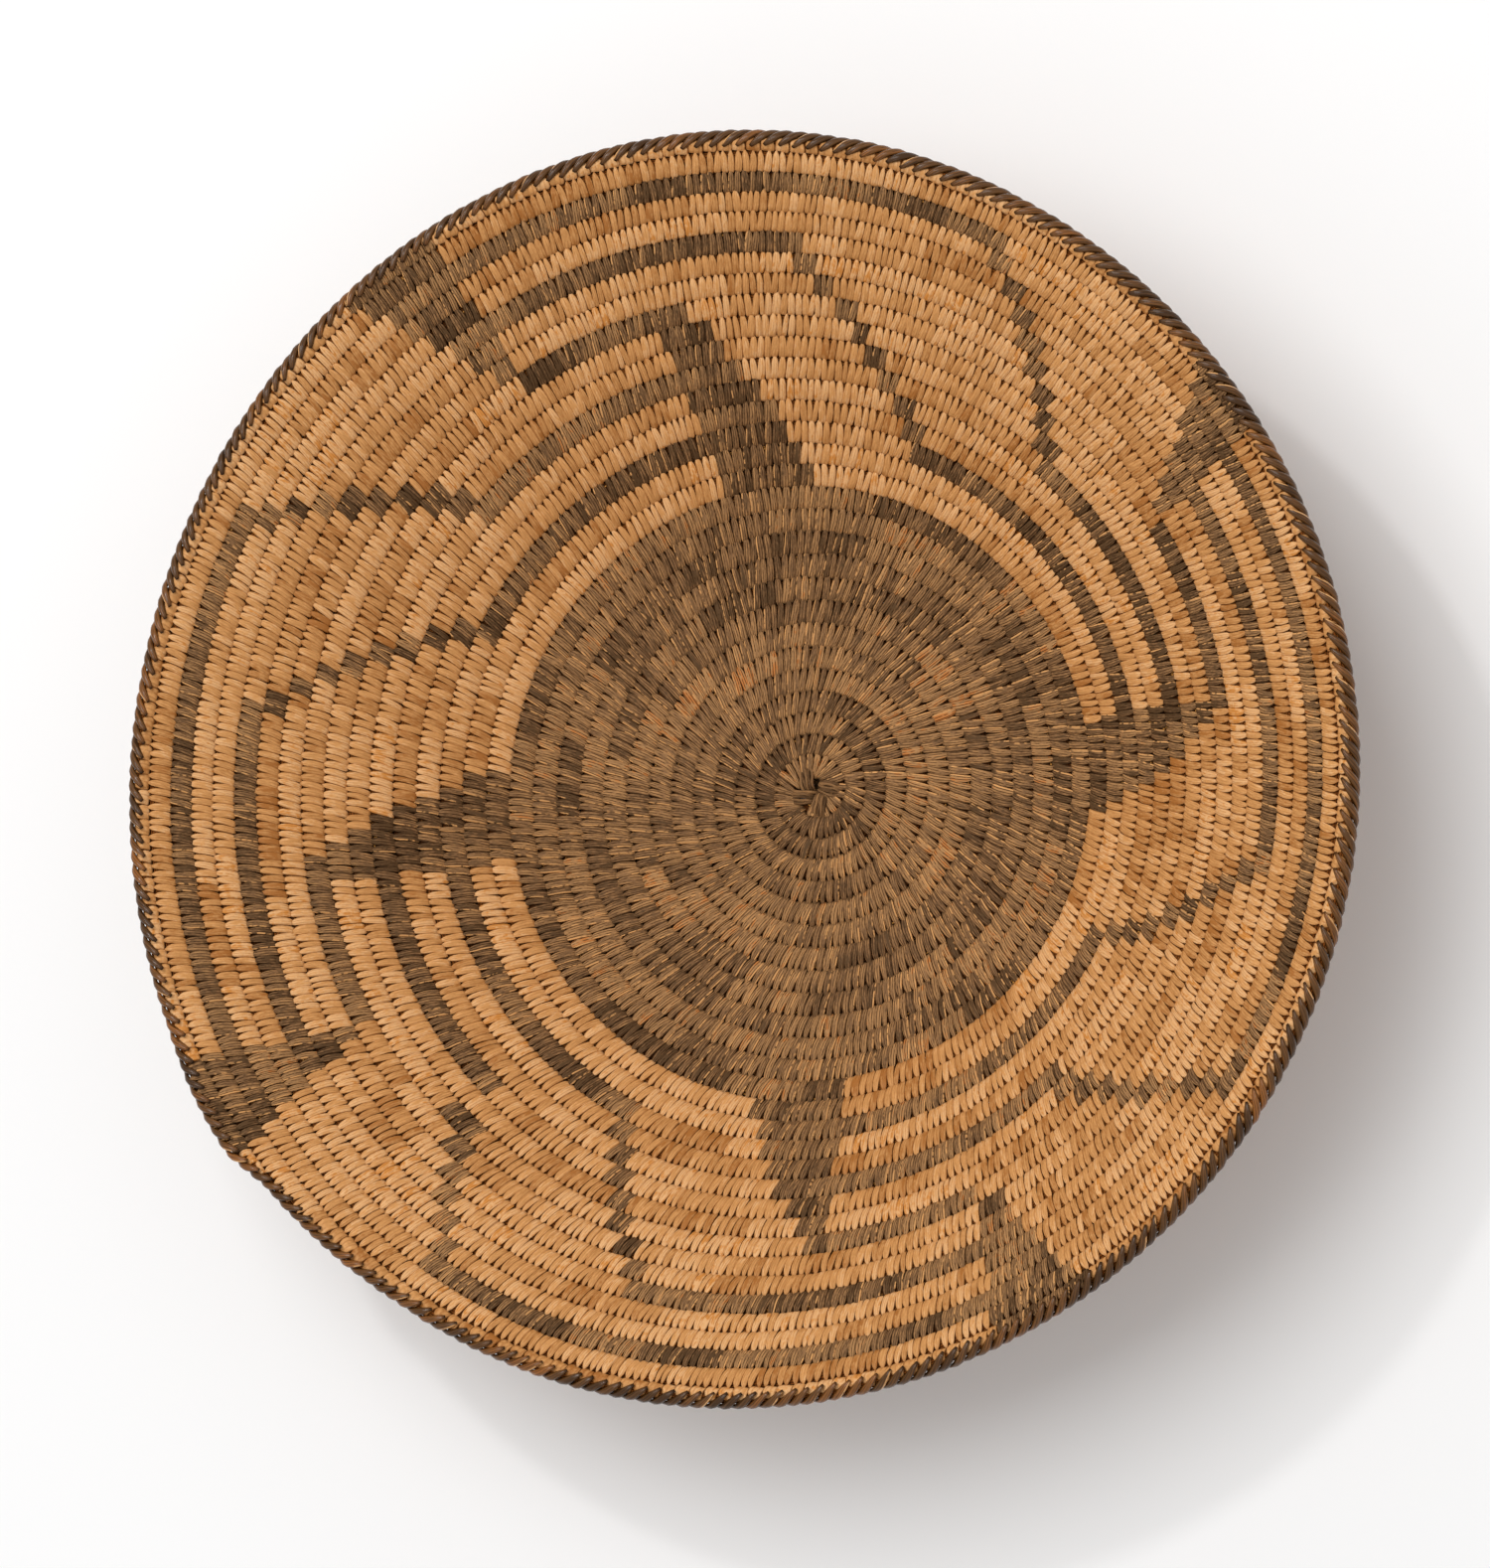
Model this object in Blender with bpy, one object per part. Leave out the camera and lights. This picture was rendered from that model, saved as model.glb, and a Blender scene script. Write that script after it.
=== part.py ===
"""A coiled tray basket: a plaited start, thirty rows of one sewn bundle coil, and a braided rim.

Metres, +Z up. The basket stands on its flat base at z = 0 and opens upwards. The coil winds outwards
anticlockwise, seen from above, and its azimuths are degrees anticlockwise from +X.
"""

import math

import bmesh
import bpy
from mathutils import Vector

# The coil, from the start to the rim; its rows are widest halfway
ROW_COUNT = 30
CENTRE_PITCH = 0.00612
MIDDLE_PITCH = 0.00772
RIM_PITCH = 0.00629
COIL_THICKNESS = 0.0056
START_RADIUS_ROWS = 1.22
COIL_END_AZIMUTH = 224.5

# The bowl's profile: a flat base that curves up into a straight flared wall
WALL_ANGLE = 37.7
BASE_SHARE = 0.12
WALL_SHARE = 0.557
# Sewn by hand, the rim isn't a true circle: it swells by this share at this azimuth and two others
SWELL_SHARE = 0.0062
SWELL_COUNT = 3
SWELL_AZIMUTH = 103.0

# The plaited start
BUNDLE_WIDTH = 0.0036
BUNDLE_THICKNESS = 0.0024
BUNDLE_LENGTH = 0.0114
BUNDLE_SPACING = 0.0044

# The braid over the rim row, and how far its outside stays within the row's full width
BRAID_WALL = 0.0014
BRAID_INSET = 0.0002

# The play between pieces that touch
GAP = 0.0003

# Stations round one row, for the rows near the centre, the next ones and the rest
FULL_STATIONS = 40
HALF_FROM_ROW = 4
FULL_FROM_ROW = 11
PROFILE_STEPS = 600

# The sections of a row and of a start bundle, as shares of half the width and half the thickness
ROW_SECTION_SHARES = ((1, 0), (0.5, 1), (-0.5, 1), (-1, 0), (-0.5, -1), (0.5, -1))
BUNDLE_SECTION_SHARES = (
    (1, 0.5), (0.6, 1), (-0.6, 1), (-1, 0.5), (-1, -0.5), (-0.6, -1), (0.6, -1), (1, -0.5),
)
# The rim row is this share of the braid's room thinner on each face
RIM_THINNING_SHARE = 1 / 3
# The coil starts thin at the first station of its first turn and tapers off in the last span of its
# last turn, where it stops at this share of the span
TAPER_SHARE = 1 / FULL_STATIONS
LAST_SPAN_SHARE = 0.6
# How much of a facet the dark splints have to cover to colour it
DARK_FACET_SHARE = 0.25
# Edges that turn by more degrees than this stay sharp
SHARP_ANGLE = 70

# Colour and roughness of the splints
LIGHT_SPLINT = ((0.52, 0.25, 0.085), 0.55)
DARK_SPLINT = ((0.083, 0.052, 0.030), 0.6)
RIM_SPLINT = ((0.055, 0.028, 0.015), 0.35)

# The four-part stepped pattern, in rows counted in from the rim: an arm rises from the dark centre to
# the tip of a rim patch, and two zigzags climb from a band beside the arm to one beside the next patch.
ARM_ROWS = (9, 17)
PATCH_ROWS = (1, 8)
LOWER_BAND_ROWS = (12, 15)
UPPER_BAND_ROWS = (3, 6)
# One line for each quarter, in degrees of azimuth: the arm's left edge in rows 17 and 9 and its right
# edge; the patch's left edge in row 1 and at its tip and its right edge in rows 1 and 8; the end of
# the band in row 12 and the start of the one in row 3; the same for the bands in rows 15 and 6.
QUARTERS = (
    (-5.5, 7.7, 10.5, 31.1, 31.5, 39.5, 33.8, 49.0, 61.6, 69.5, 84.0),
    (87.2, 99.3, 104.2, 120.2, 121.7, 130.3, 124.1, 138.6, 151.4, 155.2, 170.2),
    (175.8, 188.5, 192.2, 206.0, 209.0, 216.0, 211.1, 225.7, 235.7, 243.5, 255.2),
    (260.5, 275.3, 278.0, 296.1, 298.2, 306.2, 301.1, 315.0, 327.1, 335.5, 348.8),
)
# The width of a zigzag's runs at its foot and at its head, in degrees of azimuth
RUN_DEGREES_FOOT = 3.4
RUN_DEGREES_HEAD = 2.3


def clear_scene():
    """Remove every object that the file came with."""
    for item in list(bpy.data.objects):
        bpy.data.objects.remove(item, do_unlink=True)


def finish(name, colour, roughness):
    """A plain finish of one colour."""
    material = bpy.data.materials.new(name)
    material.use_nodes = True
    shader = material.node_tree.nodes["Principled BSDF"]
    shader.inputs["Base Color"].default_value = (*colour, 1)
    shader.inputs["Roughness"].default_value = roughness
    shader.inputs["Metallic"].default_value = 0
    material.diffuse_color = (*colour, 1)
    return material


def girth(rows):
    """Length along the profile, from the centre, that a number of rows takes."""
    share = rows / last_row_edge()
    bend = 2 * (CENTRE_PITCH + RIM_PITCH - 2 * MIDDLE_PITCH)
    climb = RIM_PITCH - CENTRE_PITCH - bend
    return rows * (CENTRE_PITCH + climb * share / 2 + bend * share * share / 3)


def last_row_edge():
    """The outer edge of the coil's last end, in rows from the centre."""
    return START_RADIUS_ROWS + ROW_COUNT


def wall_slope(share):
    """The profile's angle to the floor, at a share of its length."""
    rise = min(1, max(0, (share - BASE_SHARE) / (WALL_SHARE - BASE_SHARE)))
    return math.radians(WALL_ANGLE) * rise * rise * (3 - 2 * rise)


def profile_points():
    """Radius and height of the coil's middle line, at even steps of the profile's length."""
    step = girth(last_row_edge()) / PROFILE_STEPS
    points = [(0.0, COIL_THICKNESS / 2)]
    for index in range(PROFILE_STEPS + PROFILE_STEPS // ROW_COUNT):
        slope = wall_slope((index + 0.5) / PROFILE_STEPS)
        radius, height = points[-1]
        points.append((radius + step * math.cos(slope), height + step * math.sin(slope)))
    return points


PROFILE = profile_points()


def on_profile(length):
    """The middle line's radius, height and slope at a length from the centre."""
    steps = length / girth(last_row_edge()) * PROFILE_STEPS
    index = min(max(int(steps), 0), len(PROFILE) - 2)
    part = steps - index
    (r0, z0), (r1, z1) = PROFILE[index], PROFILE[index + 1]
    slope = math.atan2(z1 - z0, r1 - r0)
    return r0 + (r1 - r0) * part, z0 + (z1 - z0) * part, slope


def place(azimuth, length, across, over):
    """A point at an azimuth and a length up the profile, moved across the row and off the wall."""
    radius, height, slope = on_profile(length)
    radius += across * math.cos(slope) - over * math.sin(slope)
    height += across * math.sin(slope) + over * math.cos(slope)
    outwards = (radius / PROFILE[PROFILE_STEPS][0]) ** 2
    wave = math.cos(SWELL_COUNT * math.radians(azimuth - SWELL_AZIMUTH))
    radius *= 1 + SWELL_SHARE * outwards * wave
    angle = math.radians(azimuth)
    return Vector((radius * math.cos(angle), radius * math.sin(angle), height))


def rim_edge(turns):
    """The last turn's outer edge in rows from the centre, which drops a row where the coil ends."""
    share = turns - (ROW_COUNT - 1)
    if share <= 1 - TAPER_SHARE:
        return START_RADIUS_ROWS + turns
    drop = (1 - share) / TAPER_SHARE * (1 - TAPER_SHARE)
    return START_RADIUS_ROWS + ROW_COUNT - 1 + drop


def braid_room(turns):
    """How much narrower the coil gets to make room for the braid, over its last turn."""
    full = 2 * GAP + BRAID_WALL - GAP / 2 + BRAID_INSET
    share = (turns - (ROW_COUNT - 1)) / TAPER_SHARE + 1
    return full * min(1, max(0, share))


def row_edges(turns):
    """The coil's inner and outer edge, in rows from the centre, after a number of turns."""
    inner = max(START_RADIUS_ROWS, START_RADIUS_ROWS + turns - 1)
    outer = START_RADIUS_ROWS + turns
    if turns > ROW_COUNT - 1:
        outer = rim_edge(turns)
    return inner, outer


def middle_and_halves(inner, outer, turns):
    """The coil's middle, half width and half thickness between two edges, in lengths."""
    low = girth(inner) + GAP / 2
    high = girth(outer) - GAP / 2 - braid_room(turns)
    half_thickness = COIL_THICKNESS / 2 - RIM_THINNING_SHARE * braid_room(turns)
    return (low + high) / 2, (high - low) / 2, half_thickness


def azimuth_of(turns):
    """The azimuth that the coil has reached after a number of turns."""
    return COIL_END_AZIMUTH + 360 * turns


def row_section(turns):
    """The points round the coil after a number of turns."""
    inner, outer = row_edges(turns)
    middle, half_width, half_thickness = middle_and_halves(inner, outer, turns)
    half_thickness *= min(1, outer - inner)
    return [
        place(azimuth_of(turns), middle, across * half_width, over * half_thickness)
        for across, over in ROW_SECTION_SHARES
    ]


def braid_section(turns):
    """The points round the braid, which lies over the outer half of the rim row."""
    outer = rim_edge(turns)
    middle, half_width, half_thickness = middle_and_halves(outer - 1, outer, turns)
    clear = 2 * GAP
    upper = [
        (half_width / 2, half_thickness + clear),
        (half_width / 2, half_thickness + clear + BRAID_WALL),
        (half_width + clear + BRAID_WALL / 2, half_thickness * 2 / 3),
    ]
    outermost = (half_width + clear + BRAID_WALL, 0)
    lower = [(across, -over) for across, over in reversed(upper)]
    inside = (half_width + clear, 0)
    outline = [*upper, outermost, *lower, inside]
    return [place(azimuth_of(turns), middle, across, over) for across, over in outline]


def coil_turns(row_from_rim, azimuth):
    """Turns along the coil at a row counted in from the rim and an azimuth."""
    return ROW_COUNT - row_from_rim + (azimuth - COIL_END_AZIMUTH) % 360 / 360


def between(low, high, share):
    """The value at a share of the way from one value to another."""
    return low + (high - low) * share


def zigzag(band_end, band_start, top_row, bottom_row):
    """The short runs, one to a row, that climb from the end of a band to the start of another."""
    rows = bottom_row - top_row
    runs = []
    for row in range(top_row, bottom_row + 1):
        share = (bottom_row - row) / rows
        width = between(RUN_DEGREES_FOOT, RUN_DEGREES_HEAD, share)
        left = between(band_end - RUN_DEGREES_FOOT / 2, band_start - RUN_DEGREES_HEAD / 2, share)
        runs.append((row, left, left + width))
    return runs


def patch_right(quarter, row):
    """The azimuth of a rim patch's right edge at a row."""
    patch_wide, patch_narrow = quarter[5:7]
    top, bottom = PATCH_ROWS
    return between(patch_wide, patch_narrow, (row - top) / (bottom - top))


def quarter_runs(quarter, following):
    """One quarter's dark runs: each has a row from the rim and its first and last azimuth."""
    arm_low, arm_high, arm_right, patch_low, patch_tip = quarter[:5]
    bands = (quarter[7:9], quarter[9:11])
    arm_top, arm_bottom = ARM_ROWS
    runs = []
    lower_ends = {row: band[0] for row, band in zip(LOWER_BAND_ROWS, bands)}
    for row in range(arm_top, arm_bottom + 1):
        left = between(arm_high, arm_low, (row - arm_top) / (arm_bottom - arm_top))
        right = patch_tip if row == arm_top else lower_ends.get(row, arm_right)
        runs.append((row, left, right))
    for row in range(PATCH_ROWS[0], PATCH_ROWS[1] + 1):
        left = between(patch_low, patch_tip, (row - PATCH_ROWS[0]) / (arm_top - PATCH_ROWS[0]))
        runs.append((row, left, patch_right(quarter, row)))
    for lower, upper, (lower_end, upper_start) in zip(LOWER_BAND_ROWS, UPPER_BAND_ROWS, bands):
        crosses_coil_end = arm_right < COIL_END_AZIMUTH < lower_end
        lag = 1 if crosses_coil_end else 0
        runs += zigzag(lower_end, upper_start, upper + 1, lower - 1 - lag)
        runs.append((upper, upper_start, patch_right(following, upper)))
    return runs


def dark_runs():
    """Every dark stretch of the coil, as turns from its start."""
    turned = [tuple(angle + 360 for angle in QUARTERS[0])]
    last_arm_right = QUARTERS[-1][2]
    runs = [(0, coil_turns(ARM_ROWS[1], last_arm_right))]
    for quarter, following in zip(QUARTERS, [*QUARTERS[1:], *turned]):
        for row, first, last in quarter_runs(quarter, following):
            start = coil_turns(row, first)
            runs.append((start, start + (last - first) / 360))
    return runs


DARK_RUNS = dark_runs()


def dark_share(start, end):
    """How much of a stretch of the coil the dark runs cover."""
    covered = sum(max(0, min(end, last) - max(start, first)) for first, last in DARK_RUNS)
    return covered / (end - start)


def tube_mesh(name, sections, closed, materials, is_dark):
    """A mesh skinned over the sections, with capped ends unless it closes on itself."""
    shape = bmesh.new()
    rings = [[shape.verts.new(point) for point in section] for section in sections]
    sides = len(rings[0])
    spans = len(rings) if closed else len(rings) - 1
    for span in range(spans):
        ring, following = rings[span], rings[(span + 1) % len(rings)]
        for side in range(sides):
            after = (side + 1) % sides
            face = shape.faces.new((ring[side], ring[after], following[after], following[side]))
            face.material_index = int(is_dark(span))
    if not closed:
        shape.faces.new(rings[0])
        shape.faces.new(rings[-1])
    bmesh.ops.recalc_face_normals(shape, faces=shape.faces)
    mesh = bpy.data.meshes.new(name)
    shape.to_mesh(mesh)
    shape.free()
    for material in materials:
        mesh.materials.append(material)
    mesh.shade_smooth()
    mesh.set_sharp_from_angle(angle=math.radians(SHARP_ANGLE))
    item = bpy.data.objects.new(name, mesh)
    bpy.context.scene.collection.objects.link(item)
    return item


def row_stations(row):
    """Turns along the coil at a row's stations, clear of the rows that go on from its ends."""
    count = FULL_STATIONS
    if row < FULL_FROM_ROW:
        count = FULL_STATIONS // 2
    if row < HALF_FROM_ROW:
        count = FULL_STATIONS // 4
    first, last = row - 1, row
    play = GAP / (2 * math.pi * girth(START_RADIUS_ROWS + row))
    stations = [first + index / count for index in range(count + 1)]
    stations[-1] = last - play
    if row == 1:
        stations.pop(0)
    return stations


def coil_row(row, materials):
    """One turn of the sewn coil."""
    stations = row_stations(row)
    shades = [
        dark_share(start, end) > DARK_FACET_SHARE for start, end in zip(stations, stations[1:])
    ]
    sections = [row_section(turns) for turns in stations]
    if row == ROW_COUNT:
        before, nothing = sections[-2:]
        sections[-1] = [point.lerp(end, LAST_SPAN_SHARE) for point, end in zip(before, nothing)]
    return tube_mesh(f"coil_row_{row:02d}", sections, False, materials, shades.__getitem__)


def rim_braid(material):
    """The braid of dark strands, one closed ring over the last row."""
    stations = [ROW_COUNT - 1 + index / FULL_STATIONS for index in range(FULL_STATIONS)]
    sections = [braid_section(turns) for turns in stations]
    return tube_mesh("rim_braid", sections, True, [material], lambda span: False)


def start_bundle(number, along_x, side, high_first, material):
    """One of the four crossed bundles: it passes over one of its neighbours and under the other."""
    half_length = BUNDLE_LENGTH / 2
    half_space = BUNDLE_SPACING / 2
    low = BUNDLE_THICKNESS / 2
    high = COIL_THICKNESS - low
    first, second = (high, low) if high_first else (low, high)
    route = (
        (-half_length, first),
        (-half_space - BUNDLE_WIDTH / 2 + BUNDLE_WIDTH / 4, first),
        (-half_space + BUNDLE_WIDTH / 2 - GAP / 2, first),
        (half_space - BUNDLE_WIDTH / 2 + GAP / 2, second),
        (half_space + BUNDLE_WIDTH / 2 - BUNDLE_WIDTH / 4, second),
        (half_length, second),
    )
    half_width = BUNDLE_WIDTH / 2
    half_thickness = BUNDLE_THICKNESS / 2
    sections = []
    for reach, height in route:
        section = []
        for across_share, over_share in BUNDLE_SECTION_SHARES:
            across = side * half_space + across_share * half_width
            level = height + over_share * half_thickness
            point = (reach, across, level) if along_x else (across, reach, level)
            section.append(Vector(point))
        sections.append(section)
    return tube_mesh(f"start_bundle_{number}", sections, False, [material], lambda span: False)


def build():
    """Make the whole basket."""
    clear_scene()
    light = finish("light_splint", *LIGHT_SPLINT)
    dark = finish("dark_splint", *DARK_SPLINT)
    rim = finish("rim_splint", *RIM_SPLINT)
    for number, (along_x, side, high_first) in enumerate(
        ((True, 1, False), (True, -1, True), (False, -1, False), (False, 1, True)), start=1
    ):
        start_bundle(number, along_x, side, high_first, dark)
    for row in range(1, ROW_COUNT + 1):
        coil_row(row, [light, dark])
    rim_braid(rim)


build()
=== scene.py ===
"""The looks of a coiled tray basket: its foundation, its stitches, its plaited start and its braided rim.

The tray is one bundle of split stems that coils out from the plaited start, sewn row to row with light
and dark splints. Azimuths are degrees anticlockwise from +X, seen from above, and the coil winds that way.
"""

import math

import bmesh
import bpy
import numpy as np
from mathutils import Matrix, Vector
from mathutils.noise import noise_vector, seed_set


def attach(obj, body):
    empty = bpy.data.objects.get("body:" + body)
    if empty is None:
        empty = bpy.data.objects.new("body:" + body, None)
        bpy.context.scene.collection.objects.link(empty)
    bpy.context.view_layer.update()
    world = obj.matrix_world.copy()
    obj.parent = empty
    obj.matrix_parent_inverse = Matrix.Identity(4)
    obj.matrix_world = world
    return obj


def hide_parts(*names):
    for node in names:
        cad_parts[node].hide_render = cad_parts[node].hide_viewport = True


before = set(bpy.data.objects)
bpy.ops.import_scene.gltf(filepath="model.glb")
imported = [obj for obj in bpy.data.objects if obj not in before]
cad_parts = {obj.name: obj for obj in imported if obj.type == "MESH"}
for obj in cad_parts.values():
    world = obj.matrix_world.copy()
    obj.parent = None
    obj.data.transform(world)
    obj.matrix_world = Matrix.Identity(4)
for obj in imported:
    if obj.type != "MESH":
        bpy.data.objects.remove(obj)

bl_info = {
    "name": "Coiled tray basket",
    "version": (1, 0, 0),
    "blender": (4, 5, 0),
    "location": "3D View > Sidebar > Tray",
    "description": "Sews the stitches of a coiled tray over its foundation and sets its stage",
    "category": "Object",
}

# The coil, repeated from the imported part's source
ROW_COUNT = 30
CENTRE_PITCH = 0.00612
MIDDLE_PITCH = 0.00772
RIM_PITCH = 0.00629
COIL_THICKNESS = 0.0056
START_RADIUS_ROWS = 1.22
# The first stitches reach in to this radius, in rows
FIRST_RADIUS_ROWS = 0.45
COIL_END_AZIMUTH = 224.5
WALL_ANGLE = 37.7
BASE_SHARE = 0.12
WALL_SHARE = 0.557
SWELL_SHARE = 0.0062
SWELL_COUNT = 3
SWELL_AZIMUTH = 103.0
PROFILE_STEPS = 600

# How far the braid keeps the rim row's edge back, and how much thinner it makes each face
BRAID_ROOM = 0.00185
RIM_THINNING = 0.0006
# The coil's end: degrees past this azimuth, and how much of a row's width the last turn has there
TAIL_AZIMUTH = 215.5
TAIL_SHAPE = (
    (-13.0, 1.0), (-7.0, 1.17), (-2.0, 1.18), (0.0, 1.10), (1.6, 0.82), (3.4, 0.50), (8.6, 0.33),
    (21.0, 0.0),
)
# How far the coil goes on past its last full turn, and the share of a row's width that is enough to
# make it the outermost, so that the row inside it needs no room for the braid
TAIL_TURNS = 12.0 / 360
TAIL_COVER = 0.33

# The four-part stepped pattern, in rows counted in from the rim: an arm rises from the dark centre to
# the tip of a rim patch, and two zigzags climb from a band beside the arm to one beside the next patch.
ARM_ROWS = (9, 17)
PATCH_ROWS = (1, 8)
LOWER_BAND_ROWS = (12, 15)
UPPER_BAND_ROWS = (3, 6)
# One line for each quarter, in degrees of azimuth: the arm's left edge in rows 17 and 9 and its right
# edge in rows 10 and 17; the patch's left edge in row 1 and at its tip and its right edge in rows 1
# and 8; the end of the band in row 12 and the start of the one in row 3; the same for rows 15 and 6.
QUARTERS = (
    (-5.5, 7.6, 9.0, 11.4, 31.1, 31.4, 39.5, 33.7, 49.0, 61.6, 69.5, 84.0),
    (87.2, 99.3, 103.5, 104.6, 120.2, 121.7, 130.3, 124.1, 138.6, 151.4, 155.2, 170.2),
    (175.8, 188.5, 191.6, 192.3, 206.0, 209.3, 216.2, 211.1, 225.7, 235.7, 243.5, 255.2),
    (260.5, 275.3, 277.4, 278.5, 296.1, 298.4, 306.2, 301.1, 315.0, 327.1, 335.5, 348.8),
)
# The width of a zigzag's runs at its foot and at its head, in degrees of azimuth
RUN_DEGREES_FOOT = 3.4
RUN_DEGREES_HEAD = 2.3

# The narrowest that the coil gets, and its thickness where it narrows to nothing and where it starts,
# as shares of its usual one
LEAST_SPAN = 0.0002
TAIL_THICKNESS = 0.3
START_THICKNESS = 0.78

# Where the first stitch lies, and from where on the stitches are set to those of the row before, in turns
FIRST_STITCH_TURNS = 0.04
SET_FROM_TURNS = 1.1
# The stitches of the first rows are closer together: by this share at the start, less up to this row
CENTRE_CROWDING = 0.14
CROWDED_ROWS = 8
# How far a stitch strays from its even place, in steps, at full unevenness
STRAY_STEPS = 0.2
# How much a splint differs at full unevenness: across the row, along it and off it, as shares of its
# room, and in its lean, in radians
VARIETY_ACROSS, VARIETY_ALONG, VARIETY_OFF, VARIETY_LEAN = 0.08, 0.20, 0.10, 0.20
# How much of a splint's tone is each stitch's own, and how much all its stitches share
OWN_TONE, SHARED_TONE = 0.45, 0.55
# The splints' cells on a piece's map are this many times as wide as they are high
MAP_CELL_SHAPE = 7

# Where a splint's edges begin to round off, as a share of its half width
SHOULDER = 0.72
# The inner side of one stitch, from the valley on its inner side to its tip past the outer one: the
# place across the row in row widths, the height in half thicknesses and the half width in stitches
STITCH_TOP = (
    (-0.580, 0.58, 0.26),
    (-0.515, 0.76, 0.43),
    (-0.40, 0.88, 0.50),
    (-0.19, 0.97, 0.515),
    (0.06, 1.00, 0.51),
    (0.28, 0.97, 0.49),
    (0.44, 0.90, 0.41),
    (0.57, 0.78, 0.23),
    (0.66, 0.54, 0.05),
)
# The same for its outer side, from the outer valley back to the inner one
STITCH_UNDER = (
    (0.48, -0.50, 0.26),
    (0.22, -0.90, 0.48),
    (-0.16, -0.94, 0.50),
    (-0.46, -0.58, 0.40),
)
# The wide stitches of the rim row keep their width up to the braid
RIM_STITCH_TOP = (
    (-0.51, 0.34, 0.44),
    (-0.47, 0.62, 0.48),
    (-0.36, 0.85, 0.50),
    (-0.12, 1.02, 0.505),
    (0.12, 1.06, 0.50),
    (0.32, 0.92, 0.47),
    (0.45, 0.58, 0.40),
    (0.51, 0.05, 0.30),
)
# The first stitches run in to the plaited start, and widen outwards
START_STITCH_TOP = (
    (-0.74, 0.40, 0.16),
    (-0.68, 0.66, 0.24),
    (-0.54, 0.86, 0.32),
    (-0.32, 0.98, 0.40),
    (0.00, 1.02, 0.50),
    (0.27, 0.98, 0.57),
    (0.48, 0.88, 0.52),
    (0.585, 0.78, 0.34),
    (0.650, 0.52, 0.12),
)


def linear(code):
    """A colour's linear red, green and blue from its sRGB hex code."""
    parts = [int(code[place : place + 2], 16) / 255 for place in (1, 3, 5)]
    return tuple(part / 12.92 if part <= 0.04045 else ((part + 0.055) / 1.055) ** 2.4 for part in parts)


def last_row_edge():
    """The outer edge of the coil's last end, in rows from the centre."""
    return START_RADIUS_ROWS + ROW_COUNT


def girth(rows):
    """Length along the profile, from the centre, that a number of rows takes."""
    share = rows / last_row_edge()
    bend = 2 * (CENTRE_PITCH + RIM_PITCH - 2 * MIDDLE_PITCH)
    climb = RIM_PITCH - CENTRE_PITCH - bend
    return rows * (CENTRE_PITCH + climb * share / 2 + bend * share * share / 3)


def wall_slope(share):
    """The profile's angle to the floor, at a share of its length."""
    rise = min(1, max(0, (share - BASE_SHARE) / (WALL_SHARE - BASE_SHARE)))
    return math.radians(WALL_ANGLE) * rise * rise * (3 - 2 * rise)


def profile_points():
    """Radius and height of the coil's middle line, at even steps of the profile's length."""
    step = girth(last_row_edge()) / PROFILE_STEPS
    points = [(0.0, COIL_THICKNESS / 2)]
    for index in range(PROFILE_STEPS + PROFILE_STEPS // ROW_COUNT):
        slope = wall_slope((index + 0.5) / PROFILE_STEPS)
        radius, height = points[-1]
        points.append((radius + step * math.cos(slope), height + step * math.sin(slope)))
    return points


PROFILE = profile_points()


def on_profile(length):
    """The middle line's radius, height and slope at a length from the centre."""
    steps = length / girth(last_row_edge()) * PROFILE_STEPS
    index = min(max(int(steps), 0), len(PROFILE) - 2)
    part = steps - index
    (r0, z0), (r1, z1) = PROFILE[index], PROFILE[index + 1]
    slope = math.atan2(z1 - z0, r1 - r0)
    return r0 + (r1 - r0) * part, z0 + (z1 - z0) * part, slope


def axes_at(azimuth, length):
    """The directions along the row, up the profile and off the wall, at an azimuth and a length."""
    slope = on_profile(length)[2]
    angle = math.radians(azimuth)
    cos_a, sin_a, cos_s, sin_s = math.cos(angle), math.sin(angle), math.cos(slope), math.sin(slope)
    along = Vector((-sin_a, cos_a, 0))
    outward = Vector((cos_a * cos_s, sin_a * cos_s, sin_s))
    return along, outward, Vector((-cos_a * sin_s, -sin_a * sin_s, cos_s))


def place(azimuth, length, across=0.0, over=0.0):
    """A point at an azimuth and a length up the profile, moved across the row and off the wall."""
    radius, height, slope = on_profile(length)
    radius += across * math.cos(slope) - over * math.sin(slope)
    height += across * math.sin(slope) + over * math.cos(slope)
    outwards = (radius / PROFILE[PROFILE_STEPS][0]) ** 2
    wave = math.cos(SWELL_COUNT * math.radians(azimuth - SWELL_AZIMUTH))
    radius *= 1 + SWELL_SHARE * outwards * wave
    angle = math.radians(azimuth)
    return Vector((radius * math.cos(angle), radius * math.sin(angle), height))


def azimuth_of(turns):
    """The azimuth that the coil has reached after a number of turns."""
    return COIL_END_AZIMUTH + 360 * turns


def tail_share(turns):
    """How much of a row's width the last turn still has, from 1 down to 0 at the tip of its tail."""
    past = azimuth_of(turns) - 360 * ROW_COUNT - TAIL_AZIMUTH
    return float(np.interp(past, *zip(*TAIL_SHAPE)))


def rim_room(turns):
    """How much of the braid's room the coil gives up, from 0 to 1: only where it is the outermost."""
    return 1 - min(1, tail_share(turns + 1) / TAIL_COVER)


def coil_edges(turns):
    """The coil's inner and outer edges after a number of turns, in rows from the centre."""
    inner = max(FIRST_RADIUS_ROWS, START_RADIUS_ROWS + turns - 1)
    return inner, inner + tail_share(turns) if turns > ROW_COUNT - 0.5 else START_RADIUS_ROWS + turns


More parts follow.
